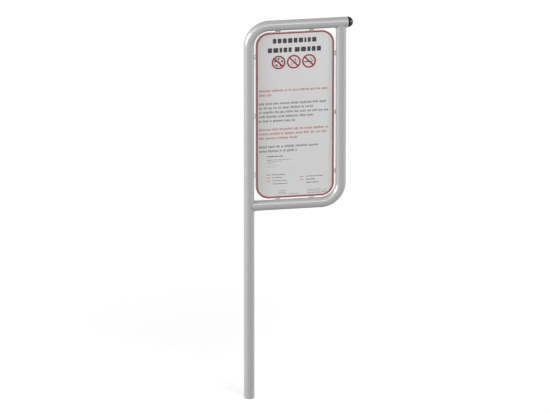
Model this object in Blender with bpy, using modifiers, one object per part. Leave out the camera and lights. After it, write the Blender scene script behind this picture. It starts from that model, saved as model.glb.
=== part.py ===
"""An information board for a park or playground, in metres, with +Z up and its front towards -Y.

One bent steel tube is both the post and the top rail. A second bent tube, coped and welded to the
first at both ends, is the right upright and the lower rail. A laminate panel with a printed film
hangs in the window between them. Ten steel lugs are welded to the tubes and reach behind the
panel's edge, and a button-head screw goes through each into a brass insert in the panel's back.
The origin is on the post's axis, at the post's foot.
"""

import math

import bmesh
import bpy
from mathutils import Matrix, Vector

# Tubes
TUBE_OD = 0.0603
TUBE_WALL = 0.0029
BEND_RADIUS = 0.115
TOP_RAIL_HEIGHT = 2.205
LOWER_RAIL_HEIGHT = 1.148
FRAME_WIDTH = 0.530
RAIL_OVERHANG = 0.00785

# Clearance between pieces that touch on the real board
FIT_GAP = 0.0003

# Panel and print
PANEL_MARGIN = 0.008
PANEL_THICKNESS = 0.008
PANEL_CHAMFER = 0.0006
FILM_THICKNESS = 0.0003
FILM_INSET = 0.001

# Lugs, and how far past the panel's round corners the outer ones stand
LUG_WIDTH = 0.030
LUG_THICKNESS = 0.003
LUG_SCREW_INSET = 0.012
LUG_END_MARGIN = 0.012
LUG_CORNER_RADIUS = 0.006
UPRIGHT_LUG_FROM_CORNER = 0.0655
RAIL_LUG_FROM_CORNER = 0.053

# Fastening of the panel: screw, washer and insert
SCREW_DIAMETER = 0.005
SCREW_HOLE_CLEARANCE = 0.0004
SCREW_TIP_CLEARANCE = 0.0007
SCREW_TIP_CHAMFER = 0.0005
HEAD_OVERHANG = 0.00225
HEAD_HEIGHT = 0.00275
HEAD_RIM_HEIGHT = 0.0006
HEAD_FLAT_BORDER = 0.0005
SOCKET_WIDTH = 0.003
SOCKET_DEPTH = 0.0016
WASHER_WIDTH = 0.0022
WASHER_THICKNESS = 0.001
INSERT_WALL = 0.0012
INSERT_GROOVE_DEPTH = 0.0005
PANEL_SKIN = 0.0022

# Welds
JOINT_WELD_RADIUS = 0.004
JOINT_WELD_LIFT = 0.001
LUG_WELD_RADIUS = 0.0025
LUG_WELD_SETBACK = 0.002
LUG_WELD_TAPER = 0.0015
LUG_WELD_END_SHARE = 0.6

# End cap of the top rail
CAP_LIP = 0.0004
CAP_RIM = 0.002
CAP_DOME = 0.0293
CAP_WALL = 0.003
PLUG_LENGTH = 0.026
PLUG_WALL = 0.0022
FIN_HEIGHT = 0.002
FIN_THICKNESS = 0.0016
FIN_COUNT = 3

# Fineness of the round shapes
TUBE_SIDES = 40
BEND_STEPS = 12
CORNER_STEPS = 8
CAP_SIDES = 28
DOME_STEPS = 6
CROWN_STEPS = 3
FASTENER_SIDES = 12
WELD_POINTS = 24
WELD_SIDES = 10
HEXAGON = 6
SMOOTH_ANGLE = math.radians(35)
MERGE_DISTANCE = 0.00001
CUT_MARGIN = 0.005

# Sizes that follow from the ones above
TUBE_RADIUS = TUBE_OD / 2
BORE_RADIUS = TUBE_RADIUS - TUBE_WALL
RAIL_END = FRAME_WIDTH + TUBE_RADIUS + RAIL_OVERHANG
WINDOW_MIDDLE = Vector((FRAME_WIDTH / 2, 0, (TOP_RAIL_HEIGHT + LOWER_RAIL_HEIGHT) / 2))
PANEL_EDGE = TUBE_RADIUS + PANEL_MARGIN
PANEL_WIDTH = FRAME_WIDTH - 2 * PANEL_EDGE
PANEL_HEIGHT = TOP_RAIL_HEIGHT - LOWER_RAIL_HEIGHT - 2 * PANEL_EDGE
PANEL_CORNER = BEND_RADIUS - PANEL_EDGE
PANEL_BACK = PANEL_THICKNESS / 2
PANEL_FRONT = -PANEL_THICKNESS / 2
LUG_FRONT = PANEL_BACK + FIT_GAP
LUG_BACK = LUG_FRONT + LUG_THICKNESS
WASHER_FRONT = LUG_BACK + FIT_GAP
WASHER_BACK = WASHER_FRONT + WASHER_THICKNESS
HEAD_SEAT = WASHER_BACK + FIT_GAP
INSERT_HOLE_END = PANEL_FRONT + PANEL_SKIN
INSERT_FRONT = INSERT_HOLE_END + FIT_GAP
SCREW_TIP = INSERT_HOLE_END + SCREW_TIP_CLEARANCE
SCREW_RADIUS = SCREW_DIAMETER / 2
SCREW_HOLE_RADIUS = SCREW_RADIUS + FIT_GAP
SCREW_DISTANCE = PANEL_EDGE + LUG_SCREW_INSET
INSERT_RADIUS = SCREW_HOLE_RADIUS + INSERT_WALL
LUG_END = SCREW_DISTANCE + LUG_END_MARGIN
UPRIGHT_LUG_OFFSET = PANEL_HEIGHT / 2 - PANEL_CORNER - UPRIGHT_LUG_FROM_CORNER
RAIL_LUG_OFFSET = PANEL_WIDTH / 2 - PANEL_CORNER - RAIL_LUG_FROM_CORNER

# Where the ten lugs stand: the tube axis there, and the turn about Y that points +X into the window
QUARTER = math.pi / 2
MIDDLE_X = WINDOW_MIDDLE.x
MIDDLE_Z = WINDOW_MIDDLE.z
LUG_STATIONS = {
    "post_upper": ((0, 0, MIDDLE_Z + UPRIGHT_LUG_OFFSET), 0),
    "post_middle": ((0, 0, MIDDLE_Z), 0),
    "post_lower": ((0, 0, MIDDLE_Z - UPRIGHT_LUG_OFFSET), 0),
    "upright_upper": ((FRAME_WIDTH, 0, MIDDLE_Z + UPRIGHT_LUG_OFFSET), math.pi),
    "upright_middle": ((FRAME_WIDTH, 0, MIDDLE_Z), math.pi),
    "upright_lower": ((FRAME_WIDTH, 0, MIDDLE_Z - UPRIGHT_LUG_OFFSET), math.pi),
    "top_rail_left": ((MIDDLE_X - RAIL_LUG_OFFSET, 0, TOP_RAIL_HEIGHT), QUARTER),
    "top_rail_right": ((MIDDLE_X + RAIL_LUG_OFFSET, 0, TOP_RAIL_HEIGHT), QUARTER),
    "lower_rail_left": ((MIDDLE_X - RAIL_LUG_OFFSET, 0, LOWER_RAIL_HEIGHT), -QUARTER),
    "lower_rail_right": ((MIDDLE_X + RAIL_LUG_OFFSET, 0, LOWER_RAIL_HEIGHT), -QUARTER),
}

# Turns that lay a shape modelled about +Z along another axis
ALONG_X = Matrix.Rotation(QUARTER, 4, "Y")
ALONG_Y = Matrix.Rotation(-QUARTER, 4, "X")


def new_collection(name):
    made = bpy.data.collections.new(name)
    bpy.context.scene.collection.children.link(made)
    return made


def new_material(name, colour, roughness, metallic):
    made = bpy.data.materials.new(name)
    made.use_nodes = True
    shader = made.node_tree.nodes["Principled BSDF"]
    shader.inputs["Base Color"].default_value = (*colour, 1.0)
    shader.inputs["Roughness"].default_value = roughness
    shader.inputs["Metallic"].default_value = metallic
    return made


def linked(name, data):
    """A new object of the board."""
    made = bpy.data.objects.new(name, data)
    BOARD.objects.link(made)
    return made


def as_cutter(obj):
    """Moves an object to the cutters, where it neither renders nor counts as a piece."""
    BOARD.objects.unlink(obj)
    CUTTERS.objects.link(obj)
    obj.hide_render = True
    obj.display_type = "WIRE"
    return obj


def cut(obj, cutter):
    boolean = obj.modifiers.new(f"cut by {cutter.name}", "BOOLEAN")
    boolean.object = cutter
    boolean.operation = "DIFFERENCE"
    boolean.solver = "EXACT"


def mesh_of(obj):
    """The shape that the object has with its modifiers, as a welded mesh. The object goes."""
    bpy.context.view_layer.update()
    graph = bpy.context.evaluated_depsgraph_get()
    mesh = bpy.data.meshes.new_from_object(obj.evaluated_get(graph), depsgraph=graph)
    work = bmesh.new()
    work.from_mesh(mesh)
    bmesh.ops.remove_doubles(work, verts=work.verts, dist=MERGE_DISTANCE)
    if not any(edge.is_boundary for edge in work.edges):
        bmesh.ops.recalc_face_normals(work, faces=work.faces)
    work.to_mesh(mesh)
    work.free()
    bpy.data.objects.remove(obj)
    return mesh


def smooth(mesh):
    mesh.shade_smooth()
    mesh.set_sharp_from_angle(angle=SMOOTH_ANGLE)


def finished(obj, material):
    """Gives a piece its material and smooth shading over its round faces."""
    obj.data.materials.clear()
    obj.data.materials.append(material)
    smooth(obj.data)
    return obj


def rod(name, points, radius, sides, capped=True, cyclic=False, tapers=None):
    """A round bar along the points. tapers gives the share of the radius at each point."""
    curve = bpy.data.curves.new(name, "CURVE")
    curve.dimensions = "3D"
    curve.bevel_depth = radius
    curve.bevel_resolution = (sides - 4) // 2
    curve.use_fill_caps = capped
    spline = curve.splines.new("POLY")
    spline.points.add(len(points) - 1)
    spline.use_cyclic_u = cyclic
    for index, place in enumerate(points):
        spline.points[index].co = (*place, 1.0)
        spline.points[index].radius = tapers[index] if tapers else 1.0
    return linked(name, mesh_of(linked(name, curve)))


def cylinder(name, radius, start, end, sides, turn):
    """A cylinder about +Z from one height to another, turned by the matrix."""
    work = bmesh.new()
    middle = Matrix.Translation((0, 0, (start + end) / 2))
    bmesh.ops.create_cone(
        work,
        cap_ends=True,
        segments=sides,
        radius1=radius,
        radius2=radius,
        depth=end - start,
        matrix=turn @ middle,
    )
    mesh = bpy.data.meshes.new(name)
    work.to_mesh(mesh)
    work.free()
    return linked(name, mesh)


def turned(name, profile, sides, closed_loop):
    """A turned shape about +Z. The profile's points are (radius, height), down the outer side."""
    mesh = bpy.data.meshes.new(name)
    points = [(radius, 0, height) for radius, height in profile]
    edges = [(index, index + 1) for index in range(len(points) - 1)]
    if closed_loop:
        edges.append((len(points) - 1, 0))
    mesh.from_pydata(points, edges, [])
    obj = linked(name, mesh)
    screw = obj.modifiers.new("turn", "SCREW")
    screw.angle = 2 * math.pi
    screw.steps = sides
    screw.render_steps = sides
    screw.use_merge_vertices = True
    screw.merge_threshold = MERGE_DISTANCE
    return linked(name, mesh_of(obj))


def arc(centre, radius, first, last, steps):
    """Points (x, y) on an arc, from one angle to another."""
    angles = [first + (last - first) * step / steps for step in range(steps + 1)]
    return [(centre[0] + radius * math.cos(a), centre[1] + radius * math.sin(a)) for a in angles]


def flat_shape(name, outline, front, back):
    """A plate with the outline's (x, z) points, between two depths along Y."""
    curve = bpy.data.curves.new(name, "CURVE")
    curve.dimensions = "2D"
    curve.fill_mode = "BOTH"
    curve.extrude = (back - front) / 2
    spline = curve.splines.new("POLY")
    spline.points.add(len(outline) - 1)
    spline.use_cyclic_u = True
    for index, (x, z) in enumerate(outline):
        spline.points[index].co = (x, z, 0, 1.0)
    mesh = mesh_of(linked(name, curve))
    stand_up = Matrix.Rotation(QUARTER, 4, "X")
    mesh.transform(Matrix.Translation((0, (front + back) / 2, 0)) @ stand_up)
    return linked(name, mesh)


def rounded_rectangle(width, height, radius):
    """Points (x, z) of a rectangle with round corners, about its middle."""
    right = width / 2 - radius
    up = height / 2 - radius
    centres = ((right, up), (-right, up), (-right, -up), (right, -up))
    outline = []
    for turn, centre in enumerate(centres):
        first = turn * QUARTER
        outline += arc(centre, radius, first, first + QUARTER, CORNER_STEPS)
    return outline


def in_xz(points):
    return [Vector((x, 0, z)) for x, z in points]


def hollow_tube(name, path):
    obj = rod(name, path, TUBE_RADIUS, TUBE_SIDES, capped=False)
    wall = obj.modifiers.new("wall", "SOLIDIFY")
    wall.thickness = TUBE_WALL
    wall.offset = -1
    wall.use_even_offset = True
    return finished(obj, STEEL)


def make_post_tube():
    """The post, the upper left bend and the top rail, as one tube open at both ends."""
    centre = (BEND_RADIUS, TOP_RAIL_HEIGHT - BEND_RADIUS)
    bend = arc(centre, BEND_RADIUS, math.pi, QUARTER, BEND_STEPS)
    return hollow_tube("post_tube", in_xz([(0, 0), *bend, (RAIL_END, TOP_RAIL_HEIGHT)]))


def make_return_tube(rail_cutter, post_cutter):
    """The right upright, the lower right bend and the lower rail, coped at both ends."""
    centre = (FRAME_WIDTH - BEND_RADIUS, LOWER_RAIL_HEIGHT + BEND_RADIUS)
    bend = arc(centre, BEND_RADIUS, 0, -QUARTER, BEND_STEPS)
    path = [(FRAME_WIDTH, TOP_RAIL_HEIGHT), *bend, (0, LOWER_RAIL_HEIGHT)]
    obj = hollow_tube("return_tube", in_xz(path))
    cut(obj, rail_cutter)
    cut(obj, post_cutter)


def tube_cutter(name, start, end, turn, place):
    """A tube's solid outline with the fit gap, about +Z until turned, moved to its place."""
    radius = TUBE_RADIUS + FIT_GAP
    obj = cylinder(name, radius, start, end, TUBE_SIDES, turn)
    obj.location = place
    return as_cutter(obj)


def make_joint_weld(name, corner, main, branch, cutters):
    """The bead where a branch tube meets a main tube, left in the corner outside both."""
    reach = TUBE_RADIUS + JOINT_WELD_LIFT
    path = []
    for index in range(WELD_POINTS):
        angle = 2 * math.pi * index / WELD_POINTS
        side = TUBE_RADIUS * math.sin(angle)
        depth = math.sqrt(reach**2 - side**2)
        along = TUBE_RADIUS * math.cos(angle)
        path.append(corner + main * along + branch * depth + Vector((0, side, 0)))
    obj = rod(name, path, JOINT_WELD_RADIUS, WELD_SIDES, capped=False, cyclic=True)
    for cutter in cutters:
        cut(obj, cutter)
    return finished(obj, WELD)


def make_frame():
    make_post_tube()
    beyond = TUBE_RADIUS + JOINT_WELD_RADIUS + CUT_MARGIN
    upper_corner = Vector((FRAME_WIDTH, 0, TOP_RAIL_HEIGHT))
    lower_corner = Vector((0, 0, LOWER_RAIL_HEIGHT))
    upright = Matrix.Identity(4)
    rail_cut = tube_cutter("rail_outline", -beyond, beyond, ALONG_X, upper_corner)
    upright_cut = tube_cutter("upright_outline", -beyond - CUT_MARGIN, 0, upright, upper_corner)
    post_cut = tube_cutter("post_outline", -beyond, beyond, upright, lower_corner)
    lower_cut = tube_cutter("lower_rail_outline", 0, beyond + CUT_MARGIN, ALONG_X, lower_corner)
    make_return_tube(rail_cut, post_cut)
    east = Vector((1, 0, 0))
    up = Vector((0, 0, 1))
    make_joint_weld("upper_joint_weld", upper_corner, east, -up, (rail_cut, upright_cut))
    make_joint_weld("lower_joint_weld", lower_corner, up, east, (post_cut, lower_cut))


def plug_profile():
    """The plug's outer side, down from the cap's seat, with its ring fins at an even pitch."""
    fin_radius = BORE_RADIUS - FIT_GAP
    skirt = fin_radius - FIN_HEIGHT
    pitch = PLUG_LENGTH / (FIN_COUNT + 1)
    profile = [(skirt, FIT_GAP)]
    for fin in range(1, FIN_COUNT + 1):
        top = -pitch * fin
        profile += [
            (skirt, top),
            (fin_radius, top - FIN_THICKNESS / 2),
            (fin_radius, top - FIN_THICKNESS),
            (skirt, top - FIN_THICKNESS),
        ]
    profile.append((skirt, -PLUG_LENGTH))
    profile.append((skirt - PLUG_WALL, -PLUG_LENGTH))
    return profile


def make_end_cap():
    """The domed plastic cap, a hollow plug pressed into the top rail's open end."""
    outer = TUBE_RADIUS + CAP_LIP
    inner = BORE_RADIUS - FIT_GAP - FIN_HEIGHT - PLUG_WALL
    quarter = [QUARTER * step / DOME_STEPS for step in range(DOME_STEPS + 1)]
    dome = [(outer * math.sin(a), CAP_RIM + CAP_DOME * math.cos(a)) for a in quarter]
    hollow = [(inner * math.sin(a), CAP_RIM + (CAP_DOME - CAP_WALL) * math.cos(a)) for a in quarter]
    profile = [*dome, (outer, FIT_GAP), *plug_profile(), *reversed(hollow)]
    obj = turned("end_cap", profile, CAP_SIDES, closed_loop=False)
    obj.location = (RAIL_END, 0, TOP_RAIL_HEIGHT)
    obj.rotation_euler = (0, QUARTER, 0)
    finished(obj, PLASTIC)


def make_panel():
    """The laminate panel, with a blind hole in its back for each insert."""
    outline = rounded_rectangle(PANEL_WIDTH, PANEL_HEIGHT, PANEL_CORNER)
    obj = flat_shape("panel", outline, PANEL_FRONT, PANEL_BACK)
    obj.location = WINDOW_MIDDLE
    chamfer = obj.modifiers.new("chamfer", "BEVEL")
    chamfer.width = PANEL_CHAMFER
    chamfer.segments = 1
    chamfer.limit_method = "ANGLE"
    cut(obj, insert_drills())
    finished(obj, LAMINATE)


def insert_drills():
    """One cutter with the ten insert holes, in the world's coordinates."""
    work = bmesh.new()
    radius = INSERT_RADIUS + FIT_GAP
    end = PANEL_BACK + CUT_MARGIN
    for place, turn in LUG_STATIONS.values():
        station = Matrix.Translation(place) @ Matrix.Rotation(turn, 4, "Y")
        middle = Matrix.Translation((SCREW_DISTANCE, (INSERT_HOLE_END + end) / 2, 0))
        bmesh.ops.create_cone(
            work,
            cap_ends=True,
            segments=FASTENER_SIDES,
            radius1=radius,
            radius2=radius,
            depth=end - INSERT_HOLE_END,
            matrix=station @ middle @ ALONG_Y,
        )
    mesh = bpy.data.meshes.new("insert_drills")
    work.to_mesh(mesh)
    work.free()
    return as_cutter(linked("insert_drills", mesh))


def make_print_film():
    """The printed film on the panel's front."""
    width = PANEL_WIDTH - 2 * FILM_INSET
    height = PANEL_HEIGHT - 2 * FILM_INSET
    outline = rounded_rectangle(width, height, PANEL_CORNER - FILM_INSET)
    back = PANEL_FRONT - FIT_GAP
    obj = flat_shape("print_film", outline, back - FILM_THICKNESS, back)
    obj.location = WINDOW_MIDDLE
    finished(obj, FILM)


def shared_mesh(obj, material, *cutters):
    """The object cut by the cutters, as a mesh that several pieces use. Object and cutters go."""
    for cutter in cutters:
        cut(obj, cutter)
    mesh = mesh_of(obj)
    for cutter in cutters:
        bpy.data.objects.remove(cutter)
    mesh.materials.clear()
    mesh.materials.append(material)
    smooth(mesh)
    return mesh


def lug_mesh():
    """A flat lug whose end fits the tube, with a screw hole and round free corners."""
    corner = LUG_END - LUG_CORNER_RADIUS
    half = LUG_WIDTH / 2
    low = half - LUG_CORNER_RADIUS
    outline = [
        (BORE_RADIUS, -half),
        *arc((corner, -low), LUG_CORNER_RADIUS, -QUARTER, 0, CORNER_STEPS // 2),
        *arc((corner, low), LUG_CORNER_RADIUS, 0, QUARTER, CORNER_STEPS // 2),
        (BORE_RADIUS, half),
    ]
    plate = flat_shape("lug", outline, LUG_FRONT, LUG_BACK)
    reach = half + CUT_MARGIN
    tube = tube_cutter("lug_seat", -reach, reach, Matrix.Identity(4), (0, 0, 0))
    radius = SCREW_RADIUS + SCREW_HOLE_CLEARANCE
    drill_ends = (LUG_FRONT - CUT_MARGIN, LUG_BACK + CUT_MARGIN)
    drill = cylinder("lug_drill", radius, *drill_ends, FASTENER_SIDES, ALONG_Y)
    drill.location = (SCREW_DISTANCE, 0, 0)
    return shared_mesh(plate, ZINC, tube, drill)


def lug_weld_mesh():
    """The bead in the corner behind a lug, along the tube."""
    corner = math.sqrt(TUBE_RADIUS**2 - LUG_BACK**2)
    half = LUG_WIDTH / 2 - LUG_WELD_SETBACK
    heights = (-half, -half + LUG_WELD_TAPER, half - LUG_WELD_TAPER, half)
    path = [Vector((corner, LUG_BACK, height)) for height in heights]
    shares = (LUG_WELD_END_SHARE, 1, 1, LUG_WELD_END_SHARE)
    bead = rod("lug_weld", path, LUG_WELD_RADIUS, WELD_SIDES, tapers=shares)
    reach = half + CUT_MARGIN
    tube = tube_cutter("lug_weld_seat", -reach, reach, Matrix.Identity(4), (0, 0, 0))
    work = bmesh.new()
    bmesh.ops.create_cube(work, size=1)
    box = bpy.data.meshes.new("lug_outline")
    work.to_mesh(box)
    work.free()
    depth = LUG_THICKNESS + 2 * CUT_MARGIN
    box.transform(Matrix.Diagonal((PANEL_EDGE, depth, 2 * reach, 1)))
    plate = linked("lug_outline", box)
    plate.location = (corner + CUT_MARGIN, LUG_BACK + FIT_GAP - depth / 2, 0)
    return shared_mesh(bead, WELD, tube, plate)


def screw_mesh():
    """A button-head screw with a hexagon socket, its length along Y and its head behind."""
    top = HEAD_SEAT + HEAD_HEIGHT
    rim = HEAD_SEAT + HEAD_RIM_HEIGHT
    head = SCREW_RADIUS + HEAD_OVERHANG
    socket_corner = SOCKET_WIDTH / math.sqrt(3)
    flat = socket_corner + HEAD_FLAT_BORDER
    tip = SCREW_RADIUS - SCREW_TIP_CHAMFER
    angles = [QUARTER * step / CROWN_STEPS for step in range(CROWN_STEPS + 1)]
    crown = [
        (flat + (head - flat) * math.sin(a), rim + (top - rim) * math.cos(a)) for a in angles
    ]
    profile = [
        (0, top),
        *crown,
        (head, HEAD_SEAT),
        (SCREW_RADIUS, HEAD_SEAT),
        (SCREW_RADIUS, SCREW_TIP + SCREW_TIP_CHAMFER),
        (tip, SCREW_TIP),
        (0, SCREW_TIP),
    ]
    body = turned("screw", profile, FASTENER_SIDES, closed_loop=False)
    body.data.transform(ALONG_Y)
    socket_ends = (top - SOCKET_DEPTH, top + CUT_MARGIN)
    socket = cylinder("socket", socket_corner, *socket_ends, HEXAGON, ALONG_Y)
    return shared_mesh(body, ZINC, socket)


def washer_mesh():
    """A flat washer between the screw's head and the lug."""
    outer = SCREW_HOLE_RADIUS + WASHER_WIDTH
    profile = [
        (outer, WASHER_BACK),
        (outer, WASHER_FRONT),
        (SCREW_HOLE_RADIUS, WASHER_FRONT),
        (SCREW_HOLE_RADIUS, WASHER_BACK),
    ]
    body = turned("washer", profile, FASTENER_SIDES, closed_loop=True)
    body.data.transform(ALONG_Y)
    return shared_mesh(body, ZINC)


def insert_mesh():
    """A brass insert with a groove round its middle, sunk flush in the panel's back."""
    outer = INSERT_RADIUS
    groove = outer - INSERT_GROOVE_DEPTH
    quarter = (PANEL_BACK - INSERT_FRONT) / 4
    profile = [
        (outer, PANEL_BACK),
        (outer, PANEL_BACK - quarter),
        (groove, PANEL_BACK - quarter - INSERT_GROOVE_DEPTH),
        (groove, INSERT_FRONT + quarter + INSERT_GROOVE_DEPTH),
        (outer, INSERT_FRONT + quarter),
        (outer, INSERT_FRONT),
        (SCREW_HOLE_RADIUS, INSERT_FRONT),
        (SCREW_HOLE_RADIUS, PANEL_BACK),
    ]
    body = turned("insert", profile, FASTENER_SIDES, closed_loop=True)
    body.data.transform(ALONG_Y)
    return shared_mesh(body, BRASS)


def make_fastenings():
    """A lug with its weld, insert, washer and screw at each of the ten stations."""
    on_screw_axis = Vector((SCREW_DISTANCE, 0, 0))
    at_tube_axis = Vector((0, 0, 0))
    kinds = (
        ("lug", lug_mesh(), at_tube_axis),
        ("lug_weld", lug_weld_mesh(), at_tube_axis),
        ("insert", insert_mesh(), on_screw_axis),
        ("washer", washer_mesh(), on_screw_axis),
        ("screw", screw_mesh(), on_screw_axis),
    )
    for station, (place, turn) in LUG_STATIONS.items():
        origin = linked(f"station_{station}", None)
        origin.location = place
        origin.rotation_euler = (0, turn, 0)
        for kind, mesh, offset in kinds:
            obj = linked(f"{kind}_{station}", mesh)
            obj.parent = origin
            obj.location = offset


for old in list(bpy.data.objects):
    bpy.data.objects.remove(old)

BOARD = new_collection("information_board")
CUTTERS = new_collection("cutters")

STEEL = new_material("silver_painted_steel", (0.52, 0.52, 0.52), 0.38, 0.3)
WELD = new_material("painted_weld", (0.48, 0.48, 0.48), 0.5, 0.3)
PLASTIC = new_material("black_plastic", (0.012, 0.012, 0.013), 0.28, 0.0)
LAMINATE = new_material("pale_laminate", (0.62, 0.62, 0.62), 0.45, 0.0)
FILM = new_material("printed_film", (0.60, 0.60, 0.60), 0.4, 0.0)
ZINC = new_material("zinc_plated_steel", (0.60, 0.61, 0.62), 0.35, 1.0)
BRASS = new_material("brass", (0.70, 0.50, 0.22), 0.35, 1.0)

make_frame()
make_end_cap()
make_panel()
make_print_film()
make_fastenings()
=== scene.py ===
"""The information board's looks, in metres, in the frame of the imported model.

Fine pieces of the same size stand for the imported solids: smooth tubes, rippled weld beads, bevelled
lugs, turned hardware and the moulded cap. The print is a border, a heading of blocks, three
prohibition signs and rows of plain bars. A pale floor, soft lamps and a camera finish the studio.
"""

import math
import random

import bmesh
import bpy
from mathutils import Matrix, Vector


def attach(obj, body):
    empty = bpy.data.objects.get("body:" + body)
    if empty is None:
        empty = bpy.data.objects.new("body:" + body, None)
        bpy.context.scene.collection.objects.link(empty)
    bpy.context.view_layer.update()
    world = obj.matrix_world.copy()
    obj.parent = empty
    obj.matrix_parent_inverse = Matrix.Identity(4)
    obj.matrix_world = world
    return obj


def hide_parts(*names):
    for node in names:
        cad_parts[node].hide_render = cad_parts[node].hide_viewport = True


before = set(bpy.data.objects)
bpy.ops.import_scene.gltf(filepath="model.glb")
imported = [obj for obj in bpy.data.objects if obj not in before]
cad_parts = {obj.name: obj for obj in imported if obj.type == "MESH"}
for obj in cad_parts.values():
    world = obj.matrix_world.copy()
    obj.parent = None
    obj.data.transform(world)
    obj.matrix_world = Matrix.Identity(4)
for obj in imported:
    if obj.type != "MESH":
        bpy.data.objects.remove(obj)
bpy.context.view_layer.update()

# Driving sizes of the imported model
TUBE_RADIUS = 0.03015
TUBE_WALL = 0.0029
BEND_RADIUS = 0.115
TOP_RAIL_HEIGHT = 2.205
LOWER_RAIL_HEIGHT = 1.148
FRAME_WIDTH = 0.530
RAIL_END = 0.568
FIT_GAP = 0.0003
WINDOW_GAP = 0.008
PANEL_THICKNESS = 0.008
PANEL_CHAMFER = 0.0006
PANEL_SKIN = 0.0022
FILM_INSET = 0.001
FILM_THICKNESS = 0.0003
LUG_HALF_WIDTH = 0.015
LUG_THICKNESS = 0.003
LUG_SCREW_INSET = 0.012
LUG_END_MARGIN = 0.012
LUG_CORNER = 0.006
LUG_BEVEL = 0.0003
UPRIGHT_LUG_OFFSET = 0.348
RAIL_LUG_OFFSET = 0.097
SCREW_RADIUS = 0.0025
SCREW_HOLE_CLEARANCE = 0.0004
SCREW_TIP_CLEARANCE = 0.0007
SCREW_TIP_CHAMFER = 0.0005
WASHER_THICKNESS = 0.001
WASHER_WIDTH = 0.0022
INSERT_WALL = 0.0012
HEAD_OVERHANG = 0.00225
HEAD_HEIGHT = 0.00275
HEAD_RIM = 0.0006
HEAD_EASE = 0.0001
HEAD_FLAT_BORDER = 0.0005
SOCKET_WIDTH = 0.003
SOCKET_DEPTH = 0.0016
SOCKET_POINT = 0.0004
JOINT_WELD_RADIUS = 0.004
JOINT_WELD_LIFT = 0.001
LUG_WELD_RADIUS = 0.0025
LUG_WELD_HALF = 0.013
CAP_LIP = 0.0004
CAP_RIM = 0.002
CAP_DOME = 0.0293
CAP_WALL = 0.003
PLUG_LENGTH = 0.026
PLUG_WALL = 0.0022
PLUG_FINS = 3
FIN_HEIGHT = 0.002
FIN_THICKNESS = 0.0016

# Sizes that follow from them
QUARTER = math.pi / 2
BORE_RADIUS = TUBE_RADIUS - TUBE_WALL
PANEL_EDGE = TUBE_RADIUS + WINDOW_GAP
PANEL_WIDTH = FRAME_WIDTH - 2 * PANEL_EDGE
PANEL_HEIGHT = TOP_RAIL_HEIGHT - LOWER_RAIL_HEIGHT - 2 * PANEL_EDGE
PANEL_CORNER = BEND_RADIUS - PANEL_EDGE
PANEL_BACK = PANEL_THICKNESS / 2
PANEL_FRONT = -PANEL_BACK
FILM_BACK = PANEL_FRONT - FIT_GAP
FILM_FRONT = FILM_BACK - FILM_THICKNESS
MIDDLE_X = FRAME_WIDTH / 2
MIDDLE_Z = (TOP_RAIL_HEIGHT + LOWER_RAIL_HEIGHT) / 2
LUG_FRONT = PANEL_BACK + FIT_GAP
LUG_BACK = LUG_FRONT + LUG_THICKNESS
WASHER_FRONT = LUG_BACK + FIT_GAP
WASHER_BACK = WASHER_FRONT + WASHER_THICKNESS
WASHER_INNER = SCREW_RADIUS + FIT_GAP
WASHER_OUTER = WASHER_INNER + WASHER_WIDTH
HEAD_SEAT = WASHER_BACK + FIT_GAP
HEAD_TOP = HEAD_SEAT + HEAD_HEIGHT
HEAD_RADIUS = SCREW_RADIUS + HEAD_OVERHANG
SOCKET_CORNER = SOCKET_WIDTH / math.sqrt(3)
HEAD_FLAT = SOCKET_CORNER + HEAD_FLAT_BORDER
SCREW_DISTANCE = PANEL_EDGE + LUG_SCREW_INSET
LUG_END = SCREW_DISTANCE + LUG_END_MARGIN
SCREW_HOLE_RADIUS = SCREW_RADIUS + SCREW_HOLE_CLEARANCE
INSERT_HOLE_RADIUS = WASHER_INNER + INSERT_WALL + FIT_GAP
INSERT_HOLE_END = PANEL_FRONT + PANEL_SKIN
SCREW_TIP = INSERT_HOLE_END + SCREW_TIP_CLEARANCE
CAP_OUTER = TUBE_RADIUS + CAP_LIP
PLUG_RADIUS = BORE_RADIUS - FIT_GAP
# Where a fine piece beside a tube ends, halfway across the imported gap
CLEAR_RADIUS = TUBE_RADIUS + FIT_GAP / 2

# Where the ten lugs stand: the tube axis there, and the turn about Y that points +X into the window
STATIONS = {}
LEVELS = (("upper", UPRIGHT_LUG_OFFSET), ("middle", 0), ("lower", -UPRIGHT_LUG_OFFSET))
SIDES = (("left", -RAIL_LUG_OFFSET), ("right", RAIL_LUG_OFFSET))
for tube, across, turn in (("post", 0, 0), ("upright", FRAME_WIDTH, math.pi)):
    for level, offset in LEVELS:
        STATIONS[f"{tube}_{level}"] = ((across, 0, MIDDLE_Z + offset), turn)
for tube, height, turn in (
    ("top_rail", TOP_RAIL_HEIGHT, QUARTER),
    ("lower_rail", LOWER_RAIL_HEIGHT, -QUARTER),
):
    for side, offset in SIDES:
        STATIONS[f"{tube}_{side}"] = ((MIDDLE_X + offset, 0, height), turn)

# Fineness of the pieces
TUBE_SIDES = 96
BEND_STEPS = 48
CORNER_STEPS = 24
TURNED_SIDES = 48
CAP_SIDES = 96
DOME_STEPS = 28
CROWN_STEPS = 12
LUG_CORNER_STEPS = 12
BEAD_SIDES = 24
RIPPLE_PARTS = 6
CIRCLE_SIDES = 72
SMOOTH_ANGLE = math.radians(40)
BEAD_ANGLE = math.radians(60)
INK_ANGLE = math.radians(20)

# How far a cutting tool reaches past the piece that it cuts
MARGIN = 0.004

SIDEWAYS = Vector((0, 1, 0))
EAST = Vector((1, 0, 0))
UP = Vector((0, 0, 1))
ALONG_Y = Matrix.Rotation(-QUARTER, 4, "X")


# Meshes


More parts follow.
